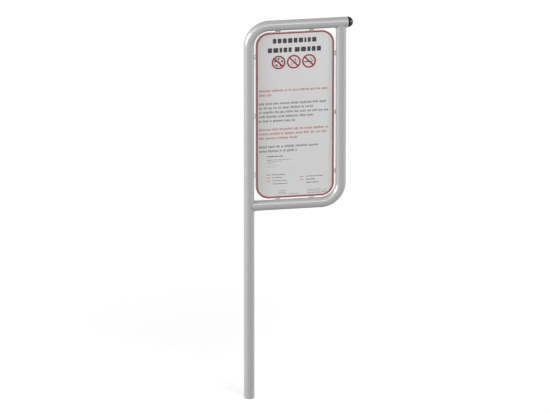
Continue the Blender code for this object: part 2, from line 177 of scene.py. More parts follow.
def mesh_from(name, points, faces, angle=SMOOTH_ANGLE):
    """A closed mesh with its faces turned outwards, smooth but for edges sharper than the angle."""
    mesh = bpy.data.meshes.new(name)
    mesh.from_pydata([tuple(point) for point in points], [], faces)
    work = bmesh.new()
    work.from_mesh(mesh)
    bmesh.ops.recalc_face_normals(work, faces=work.faces)
    work.to_mesh(mesh)
    work.free()
    smooth(mesh, angle)
    return mesh


def smooth(mesh, angle=SMOOTH_ANGLE):
    mesh.shade_smooth()
    mesh.set_sharp_from_angle(angle=angle)


def linked(name, mesh):
    made = bpy.data.objects.new(name, mesh)
    bpy.context.scene.collection.objects.link(made)
    return made


def piece(name, mesh, material, slot, nodes=()):
    """A finished piece that rides on the board and stands for the named solids."""
    mesh.materials.clear()
    mesh.materials.append(material)
    made = linked(name, mesh)
    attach(made, "root")
    if nodes:
        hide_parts(*nodes)
    return made


def applied(obj):
    """The mesh that the object has with its modifiers. The object goes."""
    bpy.context.view_layer.update()
    graph = bpy.context.evaluated_depsgraph_get()
    mesh = bpy.data.meshes.new_from_object(obj.evaluated_get(graph), depsgraph=graph)
    bpy.data.objects.remove(obj)
    return mesh


def cut(obj, cutter):
    boolean = obj.modifiers.new("cut", "BOOLEAN")
    boolean.object = cutter
    boolean.operation = "DIFFERENCE"
    boolean.solver = "EXACT"


def bevel(obj, width, segments):
    made = obj.modifiers.new("bevel", "BEVEL")
    made.width = width
    made.segments = segments
    made.limit_method = "ANGLE"
    made.angle_limit = SMOOTH_ANGLE


def arc(centre, radius, first, last, steps):
    """Points (x, z) on an arc, from one angle to another."""
    angles = [first + (last - first) * step / steps for step in range(steps + 1)]
    return [(centre[0] + radius * math.cos(a), centre[1] + radius * math.sin(a)) for a in angles]


def rounded_rectangle(width, height, radius, steps):
    """Points (x, z) of a rectangle with round corners, about its middle."""
    right = width / 2 - radius
    up = height / 2 - radius
    outline = []
    for turn, centre in enumerate(((right, up), (-right, up), (-right, -up), (right, -up))):
        first = turn * QUARTER
        outline += arc(centre, radius, first, first + QUARTER, steps)
    return outline


def plate_faces(count):
    """Faces of a plate whose front outline's points come first, then its back outline's."""
    faces = [tuple(range(count)), tuple(range(2 * count - 1, count - 1, -1))]
    for index in range(count):
        after = (index + 1) % count
        faces.append((index, after, count + after, count + index))
    return faces


def skin_faces(count, sides, closed):
    """Faces between rings of one size, the last one joined to the first when closed."""
    faces = []
    for row in range(count if closed else count - 1):
        low = row * sides
        high = (row + 1) % count * sides
        for side in range(sides):
            after = (side + 1) % sides
            faces.append((low + side, low + after, high + after, high + side))
    return faces


def slab(name, outline, front, back):
    """A plate with the outline's (x, z) points, between two depths along Y."""
    points = [(x, front, z) for x, z in outline] + [(x, back, z) for x, z in outline]
    return mesh_from(name, points, plate_faces(len(outline)))


def ring(centre, across, radius):
    """A circle about a tube's axis. across is the in-plane direction square to the axis."""
    angles = [2 * math.pi * side / TUBE_SIDES for side in range(TUBE_SIDES)]
    return [centre + (across * math.cos(a) + SIDEWAYS * math.sin(a)) * radius for a in angles]


def looped(name, rings, angle=SMOOTH_ANGLE):
    """A closed skin through rings of one size, the last one joined to the first."""
    points = [point for loop in rings for point in loop]
    return mesh_from(name, points, skin_faces(len(rings), len(rings[0]), True), angle)


def turned(name, profile, sides, turn):
    """A turned shape about +Z, then moved by the matrix. Its profile is (radius, height) points."""
    points = []
    faces = []
    rows = []
    for radius, height in profile:
        if radius == 0:
            rows.append([len(points)])
            points.append(Vector((0, 0, height)))
            continue
        rows.append(list(range(len(points), len(points) + sides)))
        for side in range(sides):
            a = 2 * math.pi * side / sides
            points.append(Vector((radius * math.cos(a), radius * math.sin(a), height)))
    closed = len(rows[0]) > 1
    pairs = list(zip(rows, rows[1:] + rows[:1] if closed else rows[1:]))
    for low, high in pairs:
        for side in range(sides):
            after = (side + 1) % sides
            corners = [low[side % len(low)], low[after % len(low)]]
            corners += [high[after % len(high)], high[side % len(high)]]
            faces.append(tuple(dict.fromkeys(corners)))
    return mesh_from(name, [turn @ point for point in points], faces)


# Tubes


def bend_rings(centre, first, last, radius):
    """Rings round a bend in the frame's plane, from one angle about its centre to another."""
    rings = []
    for step in range(BEND_STEPS + 1):
        a = first + (last - first) * step / BEND_STEPS
        outward = Vector((math.cos(a), 0, math.sin(a)))
        rings.append(ring(centre + outward * BEND_RADIUS, outward, radius))
    return rings


def make_post_tube():
    """The post, the upper left bend and the top rail, with the cut ends' edges broken."""
    break_size = 0.0004
    centre = Vector((BEND_RADIUS, 0, TOP_RAIL_HEIGHT - BEND_RADIUS))
    end = Vector((RAIL_END, 0, TOP_RAIL_HEIGHT))

    def wall(radius, ease):
        rings = [ring(Vector((0, 0, 0)), -EAST, radius + ease)]
        rings.append(ring(UP * break_size, -EAST, radius))
        rings += bend_rings(centre, math.pi, QUARTER, radius)
        rings.append(ring(end - EAST * break_size, UP, radius))
        rings.append(ring(end, UP, radius + ease))
        return rings

    rings = wall(TUBE_RADIUS, -break_size) + wall(BORE_RADIUS, break_size)[::-1]
    piece("frame_post_tube", looped("post_tube", rings), PAINT, "frame_paint", ["post_tube"])


def coped(loop, corner, main, branch):
    """The ring moved along the branch until it meets the main tube's outside."""
    moved = []
    for point in loop:
        side = point.y
        depth = math.sqrt((TUBE_RADIUS + FIT_GAP) ** 2 - side**2)
        along = (point - corner).dot(main)
        moved.append(corner + main * along + branch * depth + Vector((0, side, 0)))
    return moved


def make_return_tube():
    """The right upright, the lower right bend and the lower rail, coped to the first tube."""
    centre = Vector((FRAME_WIDTH - BEND_RADIUS, 0, LOWER_RAIL_HEIGHT + BEND_RADIUS))
    top = Vector((FRAME_WIDTH, 0, TOP_RAIL_HEIGHT))
    left = Vector((0, 0, LOWER_RAIL_HEIGHT))

    def wall(radius):
        rings = [coped(ring(top, EAST, radius), top, EAST, -UP)]
        rings += bend_rings(centre, 0, -QUARTER, radius)
        rings.append(coped(ring(left, -UP, radius), left, UP, EAST))
        return rings

    rings = wall(TUBE_RADIUS) + wall(BORE_RADIUS)[::-1]
    piece("frame_return_tube", looped("return_tube", rings), PAINT, "frame_paint", ["return_tube"])


def even_path(place, closed, pitch):
    """Points at an even spacing along place(share), with share from 0 to 1, a ripple per pitch."""
    fine = 1440
    points = [place(step / fine) for step in range(fine + 1)]
    lengths = [0.0]
    for before, after in zip(points, points[1:]):
        lengths.append(lengths[-1] + (after - before).length)
    ripples = max(1, round(lengths[-1] / pitch))
    count = ripples * RIPPLE_PARTS
    path = []
    index = 0
    for step in range(count if closed else count + 1):
        wanted = lengths[-1] * step / count
        while index < fine - 1 and lengths[index + 1] < wanted:
            index += 1
        share = (wanted - lengths[index]) / (lengths[index + 1] - lengths[index])
        path.append(points[index].lerp(points[index + 1], share))
    return path


def bead_rings(path, radius, closed, rng, taper):
    """Rings of a weld bead whose swell repeats like a row of overlapped puddles."""
    most_shrunk = -0.06
    ripple_depth = 0.10
    ripple_curve = 0.7
    # A direction that no bead runs along
    askew = Vector((0.31, 0.87, 0.38))
    angles = [2 * math.pi * side / BEAD_SIDES for side in range(BEAD_SIDES)]
    count = len(path)
    rings = []
    swell = 0.0
    for index, centre in enumerate(path):
        before = path[index - 1] if closed or index else path[0]
        after = path[(index + 1) % count] if closed or index + 1 < count else path[-1]
        along = (after - before).normalized()
        across = along.cross(askew).normalized()
        upward = along.cross(across)
        phase = index % RIPPLE_PARTS
        if phase == 0:
            swell = rng.uniform(most_shrunk, 0)
        share = phase / RIPPLE_PARTS
        ripple = ripple_depth * (1 - share) ** ripple_curve - ripple_depth
        size = radius * (1 + swell + ripple) * taper(index / (count - 1))
        rings.append(
            [centre + (across * math.cos(a) + upward * math.sin(a)) * size for a in angles]
        )
    return rings


def make_joint_weld(name, corner, main, branch, rng):
    """The bead round the joint of two tubes, pressed out of both."""
    ripple_pitch = 0.0024
    widest = 0.75
    slimmest = 0.35
    passes = 12
    reach = TUBE_RADIUS + JOINT_WELD_LIFT

    def place(share):
        angle = 2 * math.pi * share
        side = TUBE_RADIUS * math.sin(angle)
        depth = math.sqrt(reach**2 - side**2)
        return main * (TUBE_RADIUS * math.cos(angle)) + branch * depth + SIDEWAYS * side

    def taper(share):
        """Slim where the tubes' surfaces run into each other, at the joint's front and back."""
        return max(slimmest, widest * math.cos(2 * math.pi * share) ** 2)

    def outside(point, axis):
        """The point, moved straight out of the tube about the axis if it is inside."""
        along = axis * point.dot(axis)
        off = point - along
        return along + off * (CLEAR_RADIUS / off.length) if off.length < CLEAR_RADIUS else point

    path = even_path(place, True, ripple_pitch)
    rings = bead_rings(path, JOINT_WELD_RADIUS, True, rng, taper)
    for loop in rings:
        for index, point in enumerate(loop):
            for _ in range(passes):
                point = outside(outside(point, main), branch)
            loop[index] = corner + point
    mesh = looped(name, rings, BEAD_ANGLE)
    # The bead's coat is darker than the tube's: painted shade for the crease of the joint.
    piece(f"frame_{name}", mesh, WELD_PAINT_WITH_PAINTED_SHADE, "weld_paint", [name])


def make_frame():
    rng = random.Random(11)
    make_post_tube()
    make_return_tube()
    upper = Vector((FRAME_WIDTH, 0, TOP_RAIL_HEIGHT))
    lower = Vector((0, 0, LOWER_RAIL_HEIGHT))
    make_joint_weld("upper_joint_weld", upper, EAST, -UP, rng)
    make_joint_weld("lower_joint_weld", lower, UP, EAST, rng)


# End cap


def dome_points():
    """The dome with its gate mark, and the rim with its parting groove, outside, from the axis."""
    gate_radius = 0.0012
    gate_lip = 0.0016
    gate_depth = 0.0006
    lip_depth = 0.0001
    groove = 0.00045
    groove_edges = ((0.0006, 0), (0.00085, groove), (0.0012, groove), (0.00145, 0))
    edge = 0.0005
    top = CAP_RIM + CAP_DOME
    points = [(0, top - gate_depth), (gate_radius, top - gate_depth), (gate_lip, top - lip_depth)]
    for step in range(2, DOME_STEPS + 1):
        a = QUARTER * step / DOME_STEPS
        points.append((CAP_OUTER * math.sin(a), CAP_RIM + CAP_DOME * math.cos(a)))
    points += [(CAP_OUTER - depth, CAP_RIM - down) for down, depth in groove_edges]
    return points + [(CAP_OUTER, FIT_GAP + edge), (CAP_OUTER - edge, FIT_GAP)]


def plug_points():
    """The plug with its fins, outside, from the tube's end inwards."""
    skirt = PLUG_RADIUS - FIN_HEIGHT
    pitch = PLUG_LENGTH / (PLUG_FINS + 1)
    points = [(skirt, FIT_GAP)]
    for fin in range(1, PLUG_FINS + 1):
        start = -pitch * fin
        points += [(skirt, start), (PLUG_RADIUS, start - FIN_THICKNESS / 2)]
        points += [(PLUG_RADIUS, start - FIN_THICKNESS), (skirt, start - FIN_THICKNESS)]
    return points + [(skirt, -PLUG_LENGTH), (skirt - PLUG_WALL, -PLUG_LENGTH)]


def make_end_cap():
    """The domed plastic cap with its finned plug, hollow from the plug's end."""
    inner = PLUG_RADIUS - FIN_HEIGHT - PLUG_WALL
    profile = dome_points() + plug_points()
    for step in range(DOME_STEPS, 0, -1):
        a = QUARTER * step / DOME_STEPS
        height = CAP_RIM + (CAP_DOME - CAP_WALL) * math.cos(a)
        profile.append((inner * math.sin(a), height))
    profile.append((0, CAP_RIM + CAP_DOME - CAP_WALL))
    seat = Matrix.Translation((RAIL_END, 0, TOP_RAIL_HEIGHT)) @ Matrix.Rotation(QUARTER, 4, "Y")
    mesh = turned("end_cap", profile, CAP_SIDES, seat)
    piece("cap_end", mesh, CAP_PLASTIC, "cap_plastic", ["end_cap"])


# Panel and film


def window_outline(inset):
    """The panel's outline, or one inside it, about the window's middle."""
    width = PANEL_WIDTH - 2 * inset
    height = PANEL_HEIGHT - 2 * inset
    outline = rounded_rectangle(width, height, PANEL_CORNER - inset, CORNER_STEPS)
    return [(x + MIDDLE_X, z + MIDDLE_Z) for x, z in outline]


def insert_drills():
    """The ten insert holes as one cutting tool."""
    work = bmesh.new()
    end = PANEL_BACK + MARGIN
    for place, turn in STATIONS.values():
        station = Matrix.Translation(place) @ Matrix.Rotation(turn, 4, "Y")
        middle = Matrix.Translation((SCREW_DISTANCE, (INSERT_HOLE_END + end) / 2, 0))
        bmesh.ops.create_cone(
            work,
            cap_ends=True,
            segments=TURNED_SIDES,
            radius1=INSERT_HOLE_RADIUS,
            radius2=INSERT_HOLE_RADIUS,
            depth=end - INSERT_HOLE_END,
            matrix=station @ middle @ ALONG_Y,
        )
    drills = bpy.data.meshes.new("drills")
    work.to_mesh(drills)
    work.free()
    return linked("drills", drills)


def make_panel():
    """The laminate panel with blind holes for the inserts."""
    body = linked("panel_body", slab("panel", window_outline(0), PANEL_FRONT, PANEL_BACK))
    bevel(body, PANEL_CHAMFER, 3)
    drills = insert_drills()
    cut(body, drills)
    mesh = applied(body)
    bpy.data.objects.remove(drills)
    smooth(mesh)
    piece("panel_board", mesh, LAMINATE, "panel_laminate", ["panel"])


def make_notice_film():
    """The printed film on the panel's front."""
    film = slab("film", window_outline(FILM_INSET), FILM_FRONT, FILM_BACK)
    piece("notice_film", film, FILM, "print_film", ["print_film"])


# Lugs and fastenings


def lug_mesh():
    """A bevelled lug with its screw hole, its inner end shaped to the tube."""
    corner = LUG_END - LUG_CORNER
    low = LUG_HALF_WIDTH - LUG_CORNER
    outline = [
        (BORE_RADIUS, -LUG_HALF_WIDTH),
        *arc((corner, -low), LUG_CORNER, -QUARTER, 0, LUG_CORNER_STEPS),
        *arc((corner, low), LUG_CORNER, 0, QUARTER, LUG_CORNER_STEPS),
        (BORE_RADIUS, LUG_HALF_WIDTH),
    ]
    mesh = slab("lug", outline, LUG_FRONT, LUG_BACK)
    for vertex in mesh.vertices:
        if vertex.co.x < TUBE_RADIUS:
            vertex.co.x = math.sqrt(CLEAR_RADIUS**2 - vertex.co.y**2)
    plate = linked("lug", mesh)
    hole = [(0, LUG_FRONT - MARGIN), (SCREW_HOLE_RADIUS, LUG_FRONT - MARGIN)]
    hole += [(SCREW_HOLE_RADIUS, LUG_BACK + MARGIN), (0, LUG_BACK + MARGIN)]
    on_axis = Matrix.Translation((SCREW_DISTANCE, 0, 0)) @ ALONG_Y
    drill = linked("drill", turned("drill", hole, TURNED_SIDES, on_axis))
    cut(plate, drill)
    bevel(plate, LUG_BEVEL, 2)
    made = applied(plate)
    bpy.data.objects.remove(drill)
    smooth(made)
    return made


def lug_weld_mesh(rng):
    """The bead behind a lug, pressed out of the tube and off the lug."""
    ripple_pitch = 0.0020
    tip_length = 0.0006
    tip_share = 0.3
    end_share = 0.45
    run_out = 0.0028
    corner = math.sqrt(TUBE_RADIUS**2 - LUG_BACK**2)
    reach = LUG_WELD_HALF - 2 * tip_length

    def place(share):
        return Vector((corner, LUG_BACK, reach * (2 * share - 1)))

    def taper(share):
        """Slimmer towards either end."""
        end = min(share, 1 - share) * 2 * reach
        return end_share + (1 - end_share) * math.sin(QUARTER * min(1, end / run_out))

    def tipped(loop, centre, way):
        return [centre + (point - centre) * tip_share + UP * way * tip_length for point in loop]

    path = even_path(place, False, ripple_pitch)
    rings = bead_rings(path, LUG_WELD_RADIUS, False, rng, taper)
    rings = [tipped(rings[0], path[0], -1), *rings, tipped(rings[-1], path[-1], 1)]
    seat = LUG_BACK + FIT_GAP / 2
    for loop in rings:
        for index, point in enumerate(loop):
            y = max(point.y, seat)
            grow = max(1, CLEAR_RADIUS / math.hypot(point.x, y))
            loop[index] = Vector((point.x * grow, y * grow, point.z))
    points = [point for loop in rings for point in loop]
    faces = skin_faces(len(rings), BEAD_SIDES, False)
    faces.append(tuple(range(BEAD_SIDES)))
    faces.append(tuple(range(len(points) - BEAD_SIDES, len(points))))
    return mesh_from("lug_weld", points, faces, BEAD_ANGLE)


def screw_mesh():
    """A button-head screw with a hexagon socket, its length along Y and its head behind."""
    rim = HEAD_SEAT + HEAD_RIM
    crown = []
    for step in range(CROWN_STEPS + 1):
        a = QUARTER * step / CROWN_STEPS
        radius = HEAD_FLAT + (HEAD_RADIUS - HEAD_FLAT) * math.sin(a)
        crown.append((radius, rim + (HEAD_TOP - rim) * math.cos(a)))
    profile = [(0, HEAD_TOP), *crown, (HEAD_RADIUS, HEAD_SEAT + HEAD_EASE)]
    profile += [(HEAD_RADIUS - HEAD_EASE, HEAD_SEAT), (SCREW_RADIUS, HEAD_SEAT)]
    profile += [(SCREW_RADIUS, SCREW_TIP + SCREW_TIP_CHAMFER)]
    profile += [(SCREW_RADIUS - SCREW_TIP_CHAMFER, SCREW_TIP), (0, SCREW_TIP)]
    body = linked("screw", turned("screw", profile, TURNED_SIDES, ALONG_Y))
    floor = HEAD_TOP - SOCKET_DEPTH
    mouth = [(0, floor - SOCKET_POINT), (SOCKET_CORNER, floor)]
    mouth += [(SOCKET_CORNER, HEAD_TOP + MARGIN), (0, HEAD_TOP + MARGIN)]
    key = linked("key", turned("key", mouth, 6, ALONG_Y))
    cut(body, key)
    made = applied(body)
    bpy.data.objects.remove(key)
    smooth(made)
    return made


def washer_mesh():
    """A flat washer with its edges broken."""
    ease = 0.00012
    profile = [
        (WASHER_OUTER - ease, WASHER_BACK),
        (WASHER_OUTER, WASHER_BACK - ease),
        (WASHER_OUTER, WASHER_FRONT + ease),
        (WASHER_OUTER - ease, WASHER_FRONT),
        (WASHER_INNER, WASHER_FRONT),
        (WASHER_INNER, WASHER_BACK),
    ]
    return turned("washer", profile, TURNED_SIDES, ALONG_Y)


def make_fastenings():
    """A lug with its weld, washer and screw at each of the ten stations."""
    rng = random.Random(23)
    lug = lug_mesh()
    screw = screw_mesh()
    washer = washer_mesh()
    for station, (place, turn) in STATIONS.items():
        stand = Matrix.Translation(place) @ Matrix.Rotation(turn, 4, "Y")
        on_axis = stand @ Matrix.Translation((SCREW_DISTANCE, 0, 0))
        twist = Matrix.Rotation(rng.uniform(0, math.pi), 4, "Y")
        # The two top-rail lugs get a darker zinc than the others: painted shade from the rail above
        # them.
        plate = TOP_LUG_PAINTED_SHADE_ZINC if station.startswith("top_rail") else PALE_ZINC
        kinds = (
            ("lug", lug.copy(), stand, plate, "zinc_steel"),
            ("lug_weld", lug_weld_mesh(rng), stand, WELD_PAINT_WITH_PAINTED_SHADE, "weld_paint"),
            ("washer", washer.copy(), on_axis, ZINC, "zinc_steel"),
            ("screw", screw.copy(), on_axis @ twist, ZINC, "zinc_steel"),
        )
        for kind, mesh, matrix, material, slot in kinds:
            mesh.transform(matrix)
            name = f"{kind}_{station}"
            piece(f"fixing_{name}", mesh, material, slot, [name])


# Print

INK_THICKNESS = 0.0001
MILLIMETRE = 0.001
BORDER_LINE = 0.009
BORDER_INSET = 0.003

# Rows of blocks, in millimetres about the window's middle: height, left end, right end and ink
BODY_ROWS = (
    (147.0, -207, 198, "red"),
    (121.5, -207, -133, "red"),
    (70.5, -208, 182, "black"),
    (45.0, -208, 107, "black"),
    (19.8, -208, 192, "black"),
    (-6.0, -208, 109, "black"),
    (-31.5, -208, 4, "black"),
    (-82.0, -208, 192, "red"),
    (-107.5, -208, 182, "red"),
    (-133.0, -208, 17, "red"),
    (-184.0, -208, 136, "black"),
    (-209.5, -208, 14, "black"),
)

# Rows of small bars: height, left end, right end and the bars' own height
SMALL_ROWS = (
    (-241.0, -162, -69, 7.1),
    (-262.0, -162, -23, 3.2),
    (-271.8, -162, -71, 2.4),
    (-280.5, -162, -122, 2.0),
    (-295.5, -162, -87, 1.5),
    (-304.5, -162, -107, 1.5),
    (-350.0, -131, -60, 5.5),
    (-367.5, -131, -76, 4.1),
    (-386.0, -131, -48, 4.1),
    (-404.0, -131, -43, 4.3),
    (-368.5, 63, 162, 5.4),
    (-387.0, 63, 115, 6.0),
    (-405.5, 63, 136, 5.5),
    (-447.0, -94, -50, 2.6),
    (-457.5, -94, -50, 2.0),
    (-465.0, -94, -50, 2.0),
    (-467.0, -40, 22, 2.8),
    (-447.5, 71, 146, 2.4),
    (-456.5, 71, 182, 2.6),
    (-467.0, 71, 182, 3.2),
)

# Short marks: height, left end, right end and ink
MARKERS = (
    (-350.0, -164, -139, "grey"),
    (-367.5, -164, -139, "red"),
    (-386.0, -164, -139, "red"),
    (-369.5, 27, 50, "red"),
    (-387.5, 27, 50, "red"),
)

# Rows of large blocks: height, then the left end, right end and number of blocks of each group
HEADING_ROWS = (
    (437.8, ((-128, 123, 9),)),
    (383.7, ((-157, -20, 5), (-2, 149, 5))),
)

# Prohibition signs
SIGN_CENTRES = ((-94.9, 312.0), (-7.3, 312.0), (80.2, 312.0))
SIGN_RADIUS = 40.0
SIGN_LINE = 8.6


class Ink:
    """Flat shapes in millimetres about the window's middle, gathered into one printed piece."""

    def __init__(self, layer=1):
        self.points = []
        self.faces = []
        self.front = FILM_FRONT - INK_THICKNESS * layer

    def add(self, loops, faces):
        """Adds lines of (p, q) points, each with its depth, and the faces between them."""
        first = len(self.points)
        for line, depth in loops:
            for p, q in line:
                self.points.append((MIDDLE_X + p * MILLIMETRE, depth, MIDDLE_Z + q * MILLIMETRE))
        self.faces += [tuple(first + corner for corner in face) for face in faces]

    def outline(self, outline):
        """A filled shape, its (p, q) points in order."""
        loops = ((outline, self.front), (outline, FILM_FRONT))
        self.add(loops, plate_faces(len(outline)))

    def band(self, outer, inner):
        """The space between two outlines with the same number of points."""
        loops = ((outer, self.front), (inner, self.front), (inner, FILM_FRONT), (outer, FILM_FRONT))
        self.add(loops, skin_faces(4, len(outer), True))

    def bar(self, left, right, middle, height, round_share=0.35, steps=4):
        """A bar with rounded ends."""
        width = right - left
        radius = min(width, height) * round_share
        shape = rounded_rectangle(width, height, radius, steps)
        self.outline([(left + width / 2 + p, middle + q) for p, q in shape])

    def words(self, left, right, middle, height, rng):
        """A row of bars as long as short words."""
        shortest = 9
        longest = 34
        space = 3.0
        at = left
        while right - at > shortest:
            end = min(right, at + rng.uniform(shortest, longest))
            if right - end < shortest + space:
                end = right
            self.bar(at, end, middle, height)
            at = end + space

    def letters(self, left, right, middle, rng):
        """A row of plain letter-wide blocks in groups, some of them taller."""
        height = 10.6
        pitch = 8.0
        gap = 2.2
        space = 6.0
        narrow, wide = 0.75, 1.2
        fewest, most = 2, 9
        rises = (0, 0, 0, 0.22, 0.22, -0.2)
        roundness = 0.25
        at = left
        while at < right - pitch / 2:
            for _ in range(rng.randint(fewest, most)):
                width = pitch * rng.uniform(narrow, wide)
                end = min(right, at + width)
                if end - at > gap:
                    rise = rng.choice(rises) * height
                    tall = height + abs(rise)
                    self.bar(at, end - gap, middle + rise / 2, tall, roundness, 1)
                at = end
            at += space

    def made(self, name, material):
        mesh = mesh_from(name, self.points, self.faces, INK_ANGLE)
        return piece(name, mesh, material, "print_film")


def circle(centre, radius, sides=CIRCLE_SIDES):
    angles = [2 * math.pi * side / sides for side in range(sides)]
    return [(centre[0] + radius * math.cos(a), centre[1] + radius * math.sin(a)) for a in angles]


def spun(outline, centre, angle):
    """The outline about its own middle, turned and moved to the centre."""
    c = math.cos(angle)
    s = math.sin(angle)
    return [(centre[0] + p * c - q * s, centre[1] + p * s + q * c) for p, q in outline]


def make_border():
    ink = Ink()
    width = (PANEL_WIDTH - 2 * BORDER_INSET) / MILLIMETRE
    height = (PANEL_HEIGHT - 2 * BORDER_INSET) / MILLIMETRE
    corner = (PANEL_CORNER - BORDER_INSET) / MILLIMETRE
    line = BORDER_LINE / MILLIMETRE
    outer = rounded_rectangle(width, height, corner, CORNER_STEPS)
    inner = rounded_rectangle(width - 2 * line, height - 2 * line, corner - line, CORNER_STEPS)
    ink.band(outer, inner)
    ink.made("print_border", RED_INK)


def make_heading():
    """Two rows of large plain blocks."""
    ink = Ink()
    height = 28.0
    gap = 7.5
    narrow, wide = 0.7, 1.25
    roundness = 0.16
    rng = random.Random(5)
    for middle, words in HEADING_ROWS:
        for left, right, count in words:
            shares = [rng.uniform(narrow, wide) for _ in range(count)]
            scale = (right - left + gap) / sum(shares)
            at = left
            for share in shares:
                ink.bar(at, at + share * scale - gap, middle, height, roundness, 3)
                at += share * scale
    ink.made("print_heading", BLACK_INK)


def draw_ball(black, centre):
    """A football: its rim, a patch in the middle, five round it, and the seams between."""
    radius = 27
    rim_width = 1.8
    patches = 5
    middle_patch = circle((0, 0), 7.5, patches)
    side_patch = circle((0, 0), 6.4, patches)
    patch_away = 20
    seam_away = 11
    seam = rounded_rectangle(9, 1.6, 0.5, 2)
    black.band(circle(centre, radius), circle(centre, radius - rim_width))
    black.outline(spun(middle_patch, centre, QUARTER))
    for side in range(patches):
        a = QUARTER + 2 * math.pi * side / patches
        away = Vector((math.cos(a), math.sin(a)))
        black.outline(spun(side_patch, centre + away * patch_away, a + math.pi))
        black.outline(spun(seam, centre + away * seam_away, a))


def draw_bottle(black, grey, centre):
    """A tilted bottle with its cap, and a tumbler beside it."""
    tilt = -math.radians(38)
    bottle_away = Vector((-7, -8))
    cap_away = Vector((8.5, 14))
    glass_away = Vector((15.5, 2))
    side = [(7, -12), (7, 8), (3.4, 14), (3.4, 19)]
    bottle = side + [(-p, q) for p, q in reversed(side)]
    bottle_width, bottle_depth, neck_drop = 0.72, 0.86, 1
    hollow = [(p * bottle_width, q * bottle_depth if q < 0 else q - neck_drop) for p, q in bottle]
    cap = rounded_rectangle(6, 9, 1, 2)
    glass = [(4, -9), (6.5, 9), (-6.5, 9), (-4, -9)]
    glass_width, glass_depth = 0.68, 0.8
    drink = [(p * glass_width, q * glass_depth) for p, q in glass]
    grey.band(*[spun(line, centre + bottle_away, tilt) for line in (bottle, hollow)])
    black.outline(spun(cap, centre + cap_away, tilt))
    grey.band(*[spun(line, centre + glass_away, 0) for line in (glass, drink)])


def draw_cigarette(black, grey, centre):
    """A cigarette with its lit end, and two wisps of smoke."""
    thickness = 6.2
    corner = 0.8
    lengths_and_places = ((42, (-8, -3.6)), (6, (17.5, -3.6)))
    wisp_starts_and_rises = ((15.5, 24), (23, 17))
    wisp_steps = 16
    wisp_width = 3
    lean = -9
    sway = 3
    sway_angle = 6
    for length, place in lengths_and_places:
        part = rounded_rectangle(length, thickness, corner, 2)
        black.outline(spun(part, centre + Vector(place), 0))
    for start, rise in wisp_starts_and_rises:
        line = []
        for step in range(wisp_steps + 1):
            share = step / wisp_steps
            across = start + lean * share + sway * math.sin(share * sway_angle)
            line.append((centre.x + across, centre.y + share * rise))
        grey.outline(line + [(p + wisp_width, q) for p, q in reversed(line)])


def make_signs():
    """Three prohibition rings, with a ball, a bottle with a glass, and a cigarette."""
    red = Ink(layer=3)
    inner = SIGN_RADIUS - SIGN_LINE
    reach = math.asin(SIGN_LINE / 2 / inner)
    overlap = 0.1
    slope = -math.pi / 4
    for centre in SIGN_CENTRES:
        red.band(circle(centre, SIGN_RADIUS), circle(centre, inner))
        bar = arc((0, 0), inner + overlap, -reach, reach, 6)
        bar += arc((0, 0), inner + overlap, math.pi - reach, math.pi + reach, 6)
        red.outline(spun(bar, centre, slope))
    red.made("print_sign_rings", SIGN_INK)

    black = Ink()
    grey = Ink()
    ball, bottle, cigarette = [Vector(centre) for centre in SIGN_CENTRES]
    draw_ball(black, ball)
    draw_bottle(black, grey, bottle)
    draw_cigarette(black, grey, cigarette)
    black.made("print_sign_pictures", BLACK_INK)
    grey.made("print_sign_grey", GREY_INK)


def make_words():
    """Rows of blocks and bars, and the short marks beside the last ones."""
    mark_height = 4.0
    roundness = 0.3
    rng = random.Random(41)
    inks = {"red": Ink(), "black": Ink()}
    for middle, left, right, colour in BODY_ROWS:
        inks[colour].letters(left, right, middle, rng)
    inks["red"].made("print_text_red", RED_TEXT_INK)
    inks["black"].made("print_text_dark", TEXT_INK)
    small = Ink()
    for middle, left, right, height in SMALL_ROWS:
        small.words(left, right, middle, height, rng)
    small.made("print_text_small", TEXT_INK)
    marks = {"red": Ink(), "grey": Ink()}
    for middle, left, right, colour in MARKERS:
        marks[colour].bar(left, right, middle, mark_height, roundness)
    marks["red"].made("print_markers_red", RED_TEXT_INK)
    marks["grey"].made("print_markers_grey", TEXT_INK)


def make_print():
    make_border()
    make_heading()
    make_signs()
    make_words()


# Materials


